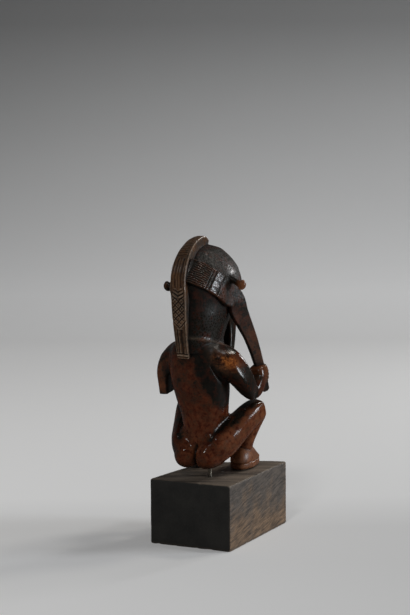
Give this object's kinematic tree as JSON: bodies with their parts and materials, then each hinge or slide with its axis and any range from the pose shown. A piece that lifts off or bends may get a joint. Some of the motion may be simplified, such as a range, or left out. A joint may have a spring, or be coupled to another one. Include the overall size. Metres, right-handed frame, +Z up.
{
  "type": "carved bembe figure on a block",
  "caption": "Small carved wooden figure squatting with side locks held in its fists, held up by a thin metal pin in a stained wood block.",
  "frame": {"origin": "centre of the block's underside", "axes": "+Z up, the figure faces -Y, and its right hand is on the -X side"},
  "size_m": [0.0611, 0.0921, 0.1869],
  "materials": {
    "figure_wood": "dense dark wood with a glossy handled patina, red-brown where worn and near black on the head",
    "pin_metal": "dull drawn metal rod",
    "block_wood": "open-grained wood stained near black and lightly waxed, browner on the worn side"
  },
  "bodies": {
    "root": {"carved_figure": "figure_wood", "mounting_pin": "pin_metal", "base_block": "block_wood"}
  },
  "joints": []
}
